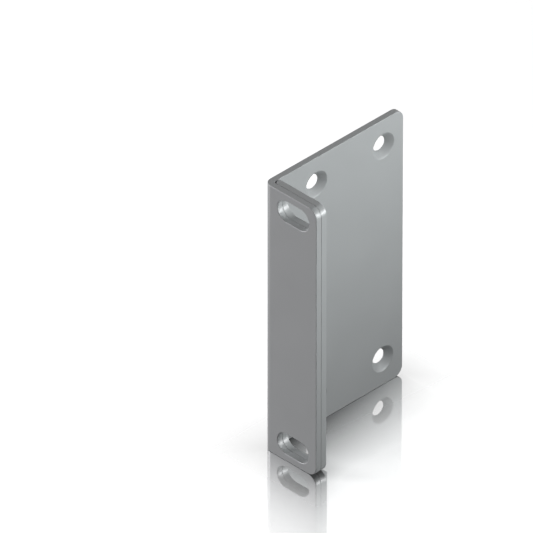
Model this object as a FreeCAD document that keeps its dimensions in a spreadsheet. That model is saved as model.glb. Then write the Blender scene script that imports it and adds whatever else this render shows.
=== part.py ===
import FreeCAD, Part
import os
import Sketcher
from math import radians

# A rack mount ear for one side of a chassis two rack units high, made of two pieces of steel sheet.
# The angle bracket is folded from one blank: a front flange, a bend and a side plate. The doubler is
# a flat plate that stiffens the flange from behind. Two rack slots go through both layers, and four
# countersunk holes in the side plate take the chassis screws.
#
# Both pieces are drawn from the corner where the chassis face meets the front face, at mid-height:
# X runs across the flange, Y back along the side plate and Z up. Their placement then puts the
# origin midway between the two rack slots, on the face that seats on the rack rail.

SIZES = [
    # name, millimetres or degrees, what it measures
    ("height", 87.3, "overall, two rack units less the clearance above and below"),
    ("flange_width", 20.0, "chassis face to the free edge of the flange"),
    ("plate_length", 51.2, "front face to the rear edge of the side plate"),
    ("sheet_thickness", 2.0, "the folded angle"),
    ("doubler_thickness", 2.0, "the flat plate behind the flange"),
    ("bend_inner_radius", 0.6, "inside the fold"),
    ("corner_radius", 3.0, "free corners of the flange, the doubler and the side plate"),
    ("edge_break", 0.12, "chamfer on the cut edges and on the rims of the rack slots"),
    ("doubler_gap", 0.35, "inner face of the side plate to the end of the doubler"),
    ("slot_width", 6.8, "up the flange"),
    ("slot_to_end", 5.55, "centre of a slot to the top or bottom edge of the flange"),
    ("slot_to_chassis", 5.25, "chassis face to the near ends of the slots"),
    ("slot_to_free_edge", 2.75, "far ends of the slots to the free edge of the flange"),
    ("screw_hole", 4.4, "diameter, clearance for an M4 screw"),
    ("countersink", 8.1, "diameter at the inner face of the side plate"),
    ("countersink_angle", 90.0, "included angle, in degrees"),
    ("screw_pitch_along", 25.5, "between screw centres, along the side plate"),
    ("screw_to_rear", 7.6, "rear screw centres to the rear edge of the side plate"),
    ("screw_to_end", 8.65, "screw centres to the top or bottom edge of the side plate"),
]

FOLLOWING_SIZES = [
    # name, formula in the sizes above, what it measures
    ("slot_spacing", "height - 2 * slot_to_end", "between the centres of the two slots"),
    ("slot_length", "flange_width - slot_to_chassis - slot_to_free_edge", "across the flange, end to end"),
    ("slot_to_edge", "slot_to_free_edge + slot_length / 2", "slot centre to the free edge of the flange"),
    ("screw_pitch_up", "height - 2 * screw_to_end", "between screw centres, up the side plate"),
]

ACROSS = FreeCAD.Vector(1, 0, 0)
BACK = FreeCAD.Vector(0, 1, 0)
UP = FreeCAD.Vector(0, 0, 1)

# The sketcher's numbers for a line's two ends, an arc's centre and the sketch's level axis
START, END, CENTRE = 1, 2, 3
LEVEL_AXIS = -1

TANGENT_ANGLE = radians(10)
TOLERANCE = 1e-4


def size_sheet(document):
    """Fills the spreadsheet of sizes, and returns by name the values that the outlines are drawn with."""
    sheet = document.addObject("Spreadsheet::Sheet", "Sizes")
    following = [(name, "=" + formula, meaning) for name, formula, meaning in FOLLOWING_SIZES]
    for row, (name, content, meaning) in enumerate(SIZES + following, 1):
        sheet.set(f"A{row}", name)
        sheet.set(f"B{row}", str(content))
        sheet.set(f"C{row}", meaning)
        sheet.setAlias(f"B{row}", name)
    document.recompute()
    return {name: float(sheet.get(name)) for name, content, meaning in SIZES + following}


def new_body(document, label):
    """An empty body, placed so that the origin lies between the slots on the rail face."""
    body = document.addObject("PartDesign::Body", label)
    body.Label = label
    body.setExpression("Placement.Base.x", "Sizes.slot_to_edge - Sizes.flange_width")
    body.setExpression("Placement.Base.y", "-(Sizes.sheet_thickness + Sizes.doubler_thickness)")
    return body


def new_sketch(body, role, name, offset=None):
    """A sketch on one of the body's origin planes, moved along its normal by a size."""
    sketch = body.newObject("Sketcher::SketchObject", name)
    plane = next(feature for feature in body.Origin.OriginFeatures if feature.Role == role)
    sketch.AttachmentSupport = [(plane, "")]
    sketch.MapMode = "FlatFace"
    if offset:
        sketch.setExpression("AttachmentOffset.Base.z", offset)
    return sketch


def new_feature(body, kind, name, **sizes):
    """A feature whose named properties are driven by expressions."""
    feature = body.newObject(f"PartDesign::{kind}", name)
    for property_name, expression in sizes.items():
        feature.setExpression(property_name, expression)
    return feature


def relate(sketch, kind, *places):
    """A geometric constraint."""
    sketch.addConstraint(Sketcher.Constraint(kind, *places))


def drive(sketch, name, kind, *places, size):
    """A named dimension that starts at the drawn length and then follows an expression."""
    if kind == "Distance":
        drawn = sketch.Geometry[places[0]].length()
    elif kind == "Diameter":
        drawn = 2 * sketch.Geometry[places[0]].Radius
    else:
        points = [sketch.getPoint(*places[first:first + 2]) for first in range(0, len(places), 2)]
        span = points[1] - points[0] if len(points) == 2 else points[0]
        drawn = span.x if kind == "DistanceX" else span.y
    index = sketch.addConstraint(Sketcher.Constraint(kind, *places, drawn))
    sketch.renameConstraint(index, name)
    sketch.setExpression(f"Constraints.{name}", size)


def draw_outline(sketch, corners):
    """A closed outline of level and upright lines through the corners; line n starts at corner n."""
    points = [FreeCAD.Vector(x, y, 0) for x, y in corners]
    following = points[1:] + points[:1]
    sketch.addGeometry([Part.LineSegment(a, b) for a, b in zip(points, following)], False)
    for line, (a, b) in enumerate(zip(points, following)):
        relate(sketch, "Coincident", line, END, (line + 1) % len(points), START)
        relate(sketch, "Horizontal" if abs(a.y - b.y) < TOLERANCE else "Vertical", line)


def edges_where(shape, wanted):
    """The names of the edges for which the test is true."""
    return [f"Edge{number}" for number, edge in enumerate(shape.Edges, 1) if wanted(edge)]


def runs_along(edge, direction):
    """Whether an edge is a straight line along a direction."""
    if edge.Curve.TypeId != "Part::GeomLine":
        return False
    return edge.tangentAt(edge.FirstParameter).cross(direction).Length < TOLERANCE


def dress_edges(body, kind, name, wanted, **size):
    """A fillet or a chamfer on those edges of the body's last feature that pass the test."""
    body.Document.recompute()
    base = body.Tip
    dressing = new_feature(body, kind, name, **size)
    dressing.Base = (base, edges_where(base.Shape, wanted))


def break_sharp_edges(body, seat=None):
    """A small chamfer wherever two faces meet at an angle, except round a seat that faces front at that Y."""
    body.Document.recompute()
    shape = body.Tip.Shape

    def is_sharp(edge):
        if seat is not None and all(abs(vertex.Y - seat) < TOLERANCE for vertex in edge.Vertexes):
            return False
        middle = edge.valueAt((edge.FirstParameter + edge.LastParameter) / 2)
        faces = shape.ancestorsOfType(edge, Part.Face)
        normals = [face.normalAt(*face.Surface.parameter(middle)) for face in faces]
        return len(normals) == 2 and normals[0].getAngle(normals[1]) > TANGENT_ANGLE

    dress_edges(body, "Chamfer", "EdgeBreak", is_sharp, Size="Sizes.edge_break")


def mirror_to_lower_half(body, feature, name):
    """Repeats a cut of the upper half in the lower half."""
    mirrored = body.newObject("PartDesign::Mirrored", name)
    mirrored.Originals = [feature]
    level = next(plane for plane in body.Origin.OriginFeatures if plane.Role == "XY_Plane")
    mirrored.MirrorPlane = (level, [""])
    body.Tip = mirrored


def cut_rack_slots(body, drawn):
    """The two slots for the rack screws, alike in the flange and in the doubler."""
    radius = drawn["slot_width"] / 2
    straight = drawn["slot_length"] - drawn["slot_width"]
    left = drawn["slot_to_chassis"] + radius
    rise = drawn["slot_spacing"] / 2
    left_end, right_end, upper_side, lower_side = range(4)

    sketch = new_sketch(body, "XZ_Plane", "SlotSketch")
    normal = FreeCAD.Vector(0, 0, 1)
    left_centre = FreeCAD.Vector(left, rise, 0)
    right_centre = FreeCAD.Vector(left + straight, rise, 0)
    up = FreeCAD.Vector(0, radius, 0)
    sketch.addGeometry([
        Part.ArcOfCircle(Part.Circle(left_centre, normal, radius), radians(90), radians(270)),
        Part.ArcOfCircle(Part.Circle(right_centre, normal, radius), radians(-90), radians(90)),
        Part.LineSegment(right_centre + up, left_centre + up),
        Part.LineSegment(left_centre - up, right_centre - up),
    ], False)
    relate(sketch, "Tangent", upper_side, END, left_end, START)
    relate(sketch, "Tangent", left_end, END, lower_side, START)
    relate(sketch, "Tangent", lower_side, END, right_end, START)
    relate(sketch, "Tangent", right_end, END, upper_side, START)
    relate(sketch, "Horizontal", upper_side)
    drive(sketch, "width", "Diameter", left_end, size="Sizes.slot_width")
    drive(sketch, "straight", "DistanceX", left_end, CENTRE, right_end, CENTRE,
          size="Sizes.slot_length - Sizes.slot_width")
    drive(sketch, "left", "DistanceX", left_end, CENTRE,
          size="Sizes.slot_to_chassis + Sizes.slot_width / 2")
    drive(sketch, "rise", "DistanceY", left_end, CENTRE, size="Sizes.slot_spacing / 2")

    slot = new_feature(body, "Pocket", "UpperSlot")
    slot.Profile = sketch
    slot.Type = "ThroughAll"
    mirror_to_lower_half(body, slot, "LowerSlot")


def drill_chassis_holes(body, drawn):
    """Four through holes in the side plate, countersunk from its inner face."""
    rear = drawn["plate_length"] - drawn["screw_to_rear"]
    front = rear - drawn["screw_pitch_along"]
    rise = drawn["screw_pitch_up"] / 2
    radius = drawn["screw_hole"] / 2
    rear_hole, front_hole = range(2)

    sketch = new_sketch(body, "YZ_Plane", "ScrewSketch", offset="Sizes.sheet_thickness")
    normal = FreeCAD.Vector(0, 0, 1)
    for along in (rear, front):
        sketch.addGeometry(Part.Circle(FreeCAD.Vector(along, rise, 0), normal, radius), False)
    relate(sketch, "Equal", rear_hole, front_hole)
    relate(sketch, "Horizontal", front_hole, CENTRE, rear_hole, CENTRE)
    drive(sketch, "diameter", "Diameter", rear_hole, size="Sizes.screw_hole")
    drive(sketch, "rear", "DistanceX", rear_hole, CENTRE, size="Sizes.plate_length - Sizes.screw_to_rear")
    drive(sketch, "pitch", "DistanceX", front_hole, CENTRE, rear_hole, CENTRE,
          size="Sizes.screw_pitch_along")
    drive(sketch, "rise", "DistanceY", rear_hole, CENTRE, size="Sizes.screw_pitch_up / 2")
    body.Document.recompute()

    holes = body.newObject("PartDesign::Hole", "UpperScrewHoles")
    holes.Profile = sketch
    holes.DepthType = "ThroughAll"
    holes.HoleCutType = "Countersink"
    holes.HoleCutCustomValues = True
    holes.setExpression("Diameter", "Sizes.screw_hole")
    holes.setExpression("HoleCutDiameter", "Sizes.countersink")
    holes.setExpression("HoleCutCountersinkAngle", "Sizes.countersink_angle")
    mirror_to_lower_half(body, holes, "LowerScrewHoles")


def angle_bracket(document, drawn):
    """The folded angle: front flange, bend and side plate in one sheet."""
    width, length, thickness = drawn["flange_width"], drawn["plate_length"], drawn["sheet_thickness"]
    front_face, free_edge, back_of_flange, inner_face, rear_edge, chassis_face = range(6)

    body = new_body(document, "angle_bracket")
    sketch = new_sketch(body, "XY_Plane", "AngleSketch")
    draw_outline(sketch, [(0, 0), (width, 0), (width, thickness), (thickness, thickness),
                          (thickness, length), (0, length)])
    relate(sketch, "Coincident", front_face, START, LEVEL_AXIS, START)
    drive(sketch, "flange", "Distance", front_face, size="Sizes.flange_width")
    drive(sketch, "plate", "Distance", chassis_face, size="Sizes.plate_length")
    drive(sketch, "thickness", "Distance", free_edge, size="Sizes.sheet_thickness")
    relate(sketch, "Equal", free_edge, rear_edge)

    blank = new_feature(body, "Pad", "Angle", Length="Sizes.height")
    blank.Profile = sketch
    blank.Midplane = True

    def at_inner_corner(edge):
        at_corner = abs(edge.CenterOfMass.x - thickness) + abs(edge.CenterOfMass.y - thickness)
        return runs_along(edge, UP) and at_corner < TOLERANCE

    def at_outer_corner(edge):
        at_corner = abs(edge.CenterOfMass.x) + abs(edge.CenterOfMass.y)
        return runs_along(edge, UP) and at_corner < TOLERANCE

    def at_free_corner(edge):
        middle = edge.CenterOfMass
        on_flange = runs_along(edge, BACK) and abs(middle.x - width) < TOLERANCE
        on_plate = runs_along(edge, ACROSS) and abs(middle.y - length) < TOLERANCE
        return on_flange or on_plate

    dress_edges(body, "Fillet", "BendInside", at_inner_corner, Radius="Sizes.bend_inner_radius")
    dress_edges(body, "Fillet", "BendOutside", at_outer_corner,
                Radius="Sizes.bend_inner_radius + Sizes.sheet_thickness")
    dress_edges(body, "Fillet", "FreeCorners", at_free_corner, Radius="Sizes.corner_radius")
    cut_rack_slots(body, drawn)
    break_sharp_edges(body)
    drill_chassis_holes(body, drawn)
    return body


def flange_doubler(document, drawn):
    """The flat plate behind the flange, chamfered where it would foul the inside of the bend."""
    inner = drawn["sheet_thickness"] + drawn["doubler_gap"]
    width, front = drawn["flange_width"], drawn["sheet_thickness"]
    rear = front + drawn["doubler_thickness"]
    seat, free_edge, rail_face, bend_end = range(4)

    body = new_body(document, "flange_doubler")
    sketch = new_sketch(body, "XY_Plane", "DoublerSketch")
    draw_outline(sketch, [(inner, front), (width, front), (width, rear), (inner, rear)])
    drive(sketch, "inner", "DistanceX", seat, START, size="Sizes.sheet_thickness + Sizes.doubler_gap")
    drive(sketch, "front", "DistanceY", seat, START, size="Sizes.sheet_thickness")
    drive(sketch, "width", "DistanceX", seat, END, size="Sizes.flange_width")
    drive(sketch, "thickness", "Distance", free_edge, size="Sizes.doubler_thickness")

    plate = new_feature(body, "Pad", "Doubler", Length="Sizes.height")
    plate.Profile = sketch
    plate.Midplane = True

    def at_bend(edge):
        at_corner = abs(edge.CenterOfMass.x - inner) + abs(edge.CenterOfMass.y - front)
        return runs_along(edge, UP) and at_corner < TOLERANCE

    def at_free_corner(edge):
        return runs_along(edge, BACK) and abs(edge.CenterOfMass.x - width) < TOLERANCE

    dress_edges(body, "Chamfer", "BendRelief", at_bend, Size="Sizes.bend_inner_radius")
    dress_edges(body, "Fillet", "FreeCorners", at_free_corner, Radius="Sizes.corner_radius")
    cut_rack_slots(body, drawn)
    break_sharp_edges(body, seat=front)
    return body


document = FreeCAD.newDocument("RackEar")
drawn_sizes = size_sheet(document)
bodies = [angle_bracket(document, drawn_sizes), flange_doubler(document, drawn_sizes)]
document.recompute()

for item in document.Objects:
    if "Invalid" in item.State or "Error" in item.State:
        raise RuntimeError(f"{item.Label} failed: {item.State}")
for body in bodies:
    if body.Shape.isNull() or not body.Shape.isValid() or len(body.Shape.Solids) != 1:
        raise RuntimeError(f"{body.Label} is not one sound solid")

os.makedirs("parts", exist_ok=True)
for body in bodies:
    body.Shape.exportStep(f"parts/{body.Label}.step")
    box = body.Shape.BoundBox
    print(f"{body.Label}: {body.Shape.Volume:.1f} mm3, X {box.XMin:.2f} to {box.XMax:.2f}, "
          f"Y {box.YMin:.2f} to {box.YMax:.2f}, Z {box.ZMin:.2f} to {box.ZMax:.2f}")
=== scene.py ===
"""The look of a rack mount ear: powder-coated steel, soft studio light and a pale glossy floor."""
from collections import namedtuple
import math

import bpy
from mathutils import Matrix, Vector


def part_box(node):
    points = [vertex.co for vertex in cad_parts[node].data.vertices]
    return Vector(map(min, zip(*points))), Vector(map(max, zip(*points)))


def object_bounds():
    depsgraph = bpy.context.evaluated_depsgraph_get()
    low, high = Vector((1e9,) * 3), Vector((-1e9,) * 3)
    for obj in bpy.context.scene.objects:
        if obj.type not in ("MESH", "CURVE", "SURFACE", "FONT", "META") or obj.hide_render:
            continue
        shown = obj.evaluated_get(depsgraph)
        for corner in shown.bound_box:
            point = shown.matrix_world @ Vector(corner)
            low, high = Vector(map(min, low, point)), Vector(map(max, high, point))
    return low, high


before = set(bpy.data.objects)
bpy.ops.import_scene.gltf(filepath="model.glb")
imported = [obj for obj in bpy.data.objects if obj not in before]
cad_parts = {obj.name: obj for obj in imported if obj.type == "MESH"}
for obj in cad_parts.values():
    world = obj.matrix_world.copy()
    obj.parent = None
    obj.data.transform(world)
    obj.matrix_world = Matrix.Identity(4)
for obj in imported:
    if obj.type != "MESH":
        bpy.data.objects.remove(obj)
cad_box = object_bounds()

scene = bpy.context.scene
scene.view_settings.view_transform = "Standard"

# Lengths are in metres, angles in degrees, powers in watts and colours in linear light
WHITE = (1.0, 1.0, 1.0)
PICTURE_PIXELS = 533
SENSOR_MM = 36.0

# The camera stands far off to the front right and looks down
CAMERA_AZIMUTH = 45.058
CAMERA_ELEVATION = 35.45
CAMERA_DISTANCE = 5.901
CAMERA_NEAR = 0.5
CAMERA_FAR = 20.0
PIXELS_PER_METRE = 3706.0
# From the ear's lowest front corner at the chassis face to the point at the picture's centre
AIM_RIGHT = 0.00082
AIM_UP = 0.0489

# The powder coat. Its clouds are slow changes of tone and roughness, and its peel is orange peel.
COAT_COLOUR = (0.400, 0.410, 0.415)
COAT_SPREAD = 0.03
COAT_ROUGHNESS = 0.45
ROUGHNESS_SPREAD = 0.05
COAT_METALLIC = 0.18
CLOUD_SCALE = 90.0
CLOUD_DETAIL = 3.0
PEEL_SCALE = 1800.0
PEEL_DETAIL = 1.0
PEEL_HEIGHT = 0.000008
GRAIN_SCALE = 6500.0
GRAIN_DETAIL = 2.0
GRAIN_HEIGHT = 0.0000015

WELD_DISTANCE = 0.000002
EDGE_ROUNDING = 0.00004
ROUNDING_SEGMENTS = 2
# Edges are rounded or split where the faces beside them turn by more than this
ROUNDED_FROM = 30.0
SPLIT_FROM = 60.0

# The floor's colour to the camera and in the light that it throws back, and the light of its own:
# to the camera where no painted shade darkens it, and in the ear's reflections
FLOOR_COLOUR = 0.70
FLOOR_BOUNCE = 0.06
FLOOR_LIFT = 0.84
FLOOR_GLOW = 0.40
# The floor's grid: how many steps it has each way, how far the even part and the widening part of its
# spacing reach, and the power by which the second widens
FLOOR_STEPS = 240
FLOOR_EVEN = 0.12
FLOOR_REACH = 1.6
FLOOR_WIDENS = 7
# How rough the floor's mirror is, how far its image reaches from the ear's foot and the power by
# which it fades
MIRROR_ROUGHNESS = 0.04
GLOSS_REACH = 0.060
GLOSS_FALL = 2.2
# How soon the flange's part of the gloss ends behind it and past its free end
PAST_FADE = 0.0012
# For the painted shade, a point behind the flange or past its free end counts as further from it, by
# this many times how far behind or past it is
PAST_FLANGE = 1.5
# The painted shade that stands in for the light the ear takes from the floor: its strength, how far
# it reaches and the power by which it fades: at its foot, and between the flange and the side plate.
# The last reach is round the flange's free end.
FOOT_SHADE = 0.18
FOOT_REACH = 0.020
FOOT_FALL = 2
CORNER_SHADE = 0.75
CORNER_REACH = 0.022
CORNER_FALL = 0.75
END_REACH = 0.020

# The strength of the light from all round, at the horizon and high up. It falls evenly between them,
# until the direction's upward part reaches the third value.
AMBIENT_LOW = 0.25
AMBIENT_HIGH = 0.053
AMBIENT_TOP = 0.7

# The side lamp stands close, a little higher than the ear, and aims over it, so that its light fades
# down the side plate. The others aim at the middle of the ear.
EAR_MIDDLE = (0.0, 0.02, 0.0)
OVER_THE_TOP = (0.0, -0.01, 0.14)

# name, place, what it faces, side, spread, power, colour, and whether it adds light, glints or both
LAMPS = [
    ("side_lamp", (0.172, 0.108, 0.065), OVER_THE_TOP, 0.12, 135.0, 0.354, (0.96, 1.0, 1.0), "light"),
    ("front_lamp", (-0.68, -0.55, 0.156), EAR_MIDDLE, 0.30, 180.0, 6.50, (1.0, 0.985, 1.0), "both"),
    ("glint_lamp", (0.74, 0.53, 0.12), EAR_MIDDLE, 0.15, 180.0, 4.49, WHITE, "glints"),
]

# A part of the floor that the ear stands on: its ends along x, then along y
Strip = namedtuple("Strip", "left right front rear")


def new_material(name):
    """An empty node material, with a function that adds nodes to it and sets their sockets."""
    material = bpy.data.materials.new(name)
    material.use_nodes = True
    material.node_tree.nodes.clear()
    return material, node_maker(material.node_tree)


def node_maker(tree):
    """A function that adds a node. A socket's value is a number, a colour or another node's output."""
    def add(kind, inputs=(), **settings):
        node = tree.nodes.new(kind)
        for name, value in settings.items():
            setattr(node, name, value)
        for socket, value in dict(inputs).items():
            if isinstance(value, bpy.types.NodeSocket):
                tree.links.new(value, node.inputs[socket])
            else:
                node.inputs[socket].default_value = value
        return node
    return add


def combine(add, operation, first, second):
    """The output of a math node with two inputs."""
    return add("ShaderNodeMath", {0: first, 1: second}, operation=operation).outputs[0]


def shown_to_camera(add):
    """1 for rays from the camera and for those that a glossy or clear surface sends on, otherwise 0."""
    path = add("ShaderNodeLightPath").outputs
    either = combine(add, "MAXIMUM", path["Is Camera Ray"], path["Is Glossy Ray"])
    return combine(add, "MAXIMUM", either, path["Is Transmission Ray"])


def make_camera():
    """A long lens far away, as in the photograph, whose upright edges hardly converge."""
    azimuth = math.radians(CAMERA_AZIMUTH)
    elevation = math.radians(CAMERA_ELEVATION)
    back = Vector((math.sin(azimuth) * math.cos(elevation),
                   -math.cos(azimuth) * math.cos(elevation),
                   math.sin(elevation)))
    right = Vector((math.cos(azimuth), math.sin(azimuth), 0.0))
    up = back.cross(right)
    corner = Vector(cad_box[0])
    camera = bpy.data.objects.new("camera", bpy.data.cameras.new("camera"))
    scene.collection.objects.link(camera)
    camera.location = corner + CAMERA_DISTANCE * back
    sight = camera.location - (corner + AIM_RIGHT * right + AIM_UP * up)
    camera.rotation_mode = "QUATERNION"
    camera.rotation_quaternion = sight.to_track_quat("Z", "Y")
    camera.data.sensor_width = SENSOR_MM
    camera.data.lens = PIXELS_PER_METRE * CAMERA_DISTANCE * SENSOR_MM / PICTURE_PIXELS
    camera.data.clip_start = CAMERA_NEAR
    camera.data.clip_end = CAMERA_FAR
    scene.camera = camera


def make_lamps():
    """Soft square lamps round the ear, which the camera doesn't see."""
    for name, place, aim, side, spread, power, colour, adds in LAMPS:
        data = bpy.data.lights.new(name, "AREA")
        data.shape = "SQUARE"
        data.size = side
        data.spread = math.radians(spread)
        data.energy = power
        data.color = colour
        lamp = bpy.data.objects.new(name, data)
        scene.collection.objects.link(lamp)
        lamp.location = place
        lamp.rotation_mode = "QUATERNION"
        lamp.rotation_quaternion = (Vector(place) - Vector(aim)).to_track_quat("Z", "Y")
        lamp.visible_camera = False
        lamp.visible_glossy = adds != "light"
        lamp.visible_diffuse = adds != "glints"


def make_world():
    """Soft light from all round, which the camera and the reflections see as plain white."""
    world = bpy.data.worlds.new("studio")
    world.use_nodes = True
    world.node_tree.nodes.clear()
    add = node_maker(world.node_tree)
    direction = add("ShaderNodeTexCoord").outputs["Generated"]
    height = add("ShaderNodeSeparateXYZ", {0: direction}).outputs["Z"]
    level = add("ShaderNodeMapRange", {"Value": height, "From Min": 0.0, "From Max": AMBIENT_TOP,
                                       "To Min": AMBIENT_LOW, "To Max": AMBIENT_HIGH}).outputs[0]
    ambient = add("ShaderNodeBackground", {"Color": (*WHITE, 1.0), "Strength": level}).outputs[0]
    white = add("ShaderNodeBackground", {"Color": (*WHITE, 1.0), "Strength": 1.0}).outputs[0]
    mix = add("ShaderNodeMixShader", {0: shown_to_camera(add), 1: ambient, 2: white}).outputs[0]
    add("ShaderNodeOutputWorld", {"Surface": mix})
    scene.world = world


def foot_strips():
    """The strips of floor under the flange with its doubler, and under the side plate."""
    lowest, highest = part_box("angle_bracket")
    doubler_low, doubler_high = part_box("flange_doubler")
    sheet = doubler_low.y - lowest.y
    flange = Strip(lowest.x, highest.x, lowest.y, doubler_high.y)
    plate = Strip(lowest.x, lowest.x + sheet, lowest.y, highest.y)
    return flange, plate


def fade(distance, reach):
    """Falls evenly from 1 to 0 over the reach, and stays 0 from there."""
    return max(0.0, 1.0 - distance / reach)


def strip_distance(x, y, strip):
    """How far a point of the floor is from a strip."""
    aside = max(strip.left - x, x - strip.right, 0.0)
    before_or_behind = max(strip.front - y, y - strip.rear, 0.0)
    return math.hypot(aside, before_or_behind)


def mirror_distance(x, y, strip):
    """How far a point is from a strip along x or along y, whichever is more. So the mirror image of
    the flange's front and that of its free end fade alike."""
    return max(strip.left - x, x - strip.right, strip.front - y, y - strip.rear, 0.0)


def past_flange(x, y, flange):
    """How far a point is behind the flange, plus how far past its free end. It is below 0 in front."""
    return y - flange.rear + max(0.0, x - flange.right)


def foot_distance(x, y, flange, plate):
    """How far a point is from the ear, where the flange counts less behind it and past its end."""
    past = max(0.0, past_flange(x, y, flange))
    return min(strip_distance(x, y, plate), strip_distance(x, y, flange) + PAST_FLANGE * past)


def corner_shade(x, y, flange, plate):
    """The painted shade between the flange and the side plate, which also fades round the flange's free
    end.
    """
    if x < plate.right:
        return 0.0
    across = fade(x - plate.right, CORNER_REACH)
    if y >= flange.rear:
        along = fade(y - flange.rear, plate.rear - flange.rear) ** CORNER_FALL
        return CORNER_SHADE * across * along
    at_end = fade(flange.right - plate.right, CORNER_REACH)
    round_end = fade(math.hypot(max(flange.right - x, 0.0), y - flange.rear), END_REACH)
    return CORNER_SHADE * min(across, at_end) * round_end


def floor_mesh():
    """A flat grid, fine near the ear. Its points hold what the floor's gloss and painted shade are made
    from.
    """
    flange, plate = foot_strips()
    ground = cad_box[0][2]
    middle = (Vector(cad_box[0]) + Vector(cad_box[1])) / 2
    marks = [2.0 * step / FLOOR_STEPS - 1.0 for step in range(FLOOR_STEPS + 1)]
    spread = [FLOOR_EVEN * mark + FLOOR_REACH * mark ** FLOOR_WIDENS for mark in marks]
    # The grid has lines along the strips' edges too, so that the painted shade starts exactly there
    edges_x = (flange.left, flange.right, plate.left, plate.right)
    edges_y = (flange.front, flange.rear, plate.front, plate.rear)
    along_x = sorted({middle.x + offset for offset in spread}.union(edges_x))
    along_y = sorted({middle.y + offset for offset in spread}.union(edges_y))
    places = [(x, y) for y in along_y for x in along_x]
    row = len(along_x)
    faces = [(n, n + 1, n + 1 + row, n + row)
             for n in range(row * (len(along_y) - 1)) if (n + 1) % row]
    mesh = bpy.data.meshes.new("floor")
    mesh.from_pydata([(x, y, ground) for x, y in places], [], faces)
    values = {"from_plate": [], "from_flange": [], "past_flange": [], "shade": []}
    for x, y in places:
        # Painted shade round the ear's foot. The shade value is 1 less this and the painted corner
        # shade.
        painted_foot_shade = FOOT_SHADE * fade(foot_distance(x, y, flange, plate), FOOT_REACH) ** FOOT_FALL
        values["from_plate"].append(mirror_distance(x, y, plate))
        values["from_flange"].append(mirror_distance(x, y, flange))
        values["past_flange"].append(past_flange(x, y, flange))
        values["shade"].append(1.0 - painted_foot_shade - corner_shade(x, y, flange, plate))
    for name, numbers in values.items():
        mesh.attributes.new(name, "FLOAT", "POINT").data.foreach_set("value", numbers)
    return mesh


def near_part(add, attribute, reach):
    """1 where the floor's attribute is 0 or less, falling to 0 at the reach."""
    value = add("ShaderNodeAttribute", attribute_name=attribute).outputs["Fac"]
    return add("ShaderNodeMapRange", {"Value": value, "From Min": 0.0, "From Max": reach,
                                      "To Min": 1.0, "To Max": 0.0}).outputs[0]


def pale_floor():
    """Matt and pale, and to the camera more of a mirror the nearer it is to the ear's foot. Its own
    light and its mirror image are darkened by the painted shade.
    """
    material, add = new_material("pale_floor")
    camera_ray = add("ShaderNodeLightPath").outputs["Is Camera Ray"]
    # The painted shade, as the part of the floor's own light and mirror image that it leaves
    painted_shade_factor = add("ShaderNodeAttribute", attribute_name="shade").outputs["Fac"]
    colour = add("ShaderNodeMapRange", {"Value": camera_ray, "To Min": FLOOR_BOUNCE,
                                        "To Max": FLOOR_COLOUR}).outputs[0]
    matt = add("ShaderNodeBsdfDiffuse", {"Color": colour}).outputs[0]
    lit = combine(add, "MULTIPLY", painted_shade_factor, FLOOR_LIFT)
    level = add("ShaderNodeMapRange", {"Value": camera_ray, "To Min": FLOOR_GLOW,
                                       "To Max": lit}).outputs[0]
    seen = combine(add, "MULTIPLY", shown_to_camera(add), level)
    glow = add("ShaderNodeEmission", {"Color": (*WHITE, 1.0), "Strength": seen}).outputs[0]
    pale = add("ShaderNodeAddShader", {0: matt, 1: glow}).outputs[0]
    # The mirror image is darkened by the painted shade too
    mirror = add("ShaderNodeBsdfAnisotropic", {"Color": painted_shade_factor,
                                               "Roughness": MIRROR_ROUGHNESS}).outputs[0]
    by_plate = near_part(add, "from_plate", GLOSS_REACH)
    by_flange = near_part(add, "from_flange", GLOSS_REACH)
    before_flange = combine(add, "MULTIPLY", by_flange, near_part(add, "past_flange", PAST_FADE))
    nearest = combine(add, "MAXIMUM", by_plate, before_flange)
    gloss = combine(add, "POWER", nearest, GLOSS_FALL)
    shine = combine(add, "MULTIPLY", gloss, camera_ray)
    mix = add("ShaderNodeMixShader", {0: shine, 1: pale, 2: mirror}).outputs[0]
    add("ShaderNodeOutputMaterial", {"Surface": mix})
    return material


def make_floor():
    """A pale floor under the ear. It mirrors the ear most at its foot and has a painted shade there."""
    floor = bpy.data.objects.new("floor", floor_mesh())
    scene.collection.objects.link(floor)
    floor.data.materials.append(pale_floor())


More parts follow.
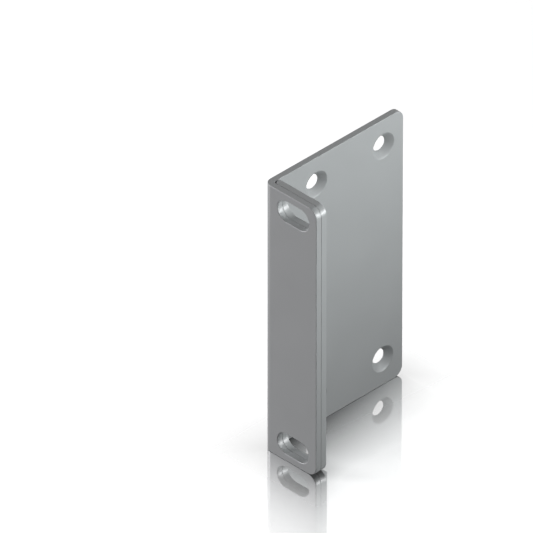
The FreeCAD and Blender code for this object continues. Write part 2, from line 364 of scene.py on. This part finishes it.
def powder_coat():
    """Silver-grey satin powder coat: faint orange peel, a finer grain and slight changes of tone."""
    material, add = new_material("powder_coat")
    place = add("ShaderNodeTexCoord").outputs["Object"]
    clouds = add("ShaderNodeTexNoise", {"Vector": place, "Scale": CLOUD_SCALE,
                                        "Detail": CLOUD_DETAIL}).outputs["Fac"]
    dark = [part * (1.0 - COAT_SPREAD) for part in COAT_COLOUR]
    light = [part * (1.0 + COAT_SPREAD) for part in COAT_COLOUR]
    tone = add("ShaderNodeMix", {"Factor": clouds, "A": (*dark, 1.0), "B": (*light, 1.0)},
               data_type="RGBA").outputs["Result"]
    peel = add("ShaderNodeTexNoise", {"Vector": place, "Scale": PEEL_SCALE,
                                      "Detail": PEEL_DETAIL}).outputs["Fac"]
    grain = add("ShaderNodeTexNoise", {"Vector": place, "Scale": GRAIN_SCALE,
                                       "Detail": GRAIN_DETAIL}).outputs["Fac"]
    roughness = add("ShaderNodeMapRange", {"Value": clouds,
                                           "To Min": COAT_ROUGHNESS - ROUGHNESS_SPREAD,
                                           "To Max": COAT_ROUGHNESS + ROUGHNESS_SPREAD})
    waves = add("ShaderNodeBump", {"Height": peel, "Distance": PEEL_HEIGHT})
    bumps = add("ShaderNodeBump", {"Height": grain, "Distance": GRAIN_HEIGHT,
                                   "Normal": waves.outputs["Normal"]})
    surface = add("ShaderNodeBsdfPrincipled", {"Base Color": tone,
                                               "Metallic": COAT_METALLIC,
                                               "Roughness": roughness.outputs["Result"],
                                               "Normal": bumps.outputs["Normal"]})
    add("ShaderNodeOutputMaterial", {"Surface": surface.outputs[0]})
    return material


def keep_sharp(node):
    """Keeps a piece's edges sharp and its faces evenly shaded."""
    split = node.modifiers.new("split", "EDGE_SPLIT")
    split.split_angle = math.radians(SPLIT_FROM)
    node.modifiers.new("flat_faces", "WEIGHTED_NORMAL")


def round_edges(node):
    """Rounds a piece's edges a little, as the coat does."""
    rounding = node.modifiers.new("rounding", "BEVEL")
    rounding.width = EDGE_ROUNDING
    rounding.segments = ROUNDING_SEGMENTS
    rounding.limit_method = "ANGLE"
    rounding.angle_limit = math.radians(ROUNDED_FROM)
    rounding.harden_normals = True


def finish_steel():
    """Gives both pieces their coat. The doubler's edges stay sharp where it lies against the flange."""
    coat = powder_coat()
    for name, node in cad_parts.items():
        node.data.materials.clear()
        node.data.materials.append(coat)
        weld = node.modifiers.new("weld", "WELD")
        weld.merge_threshold = WELD_DISTANCE
        if name == "flange_doubler":
            keep_sharp(node)
        else:
            round_edges(node)


make_camera()
make_lamps()
make_world()
make_floor()
finish_steel()
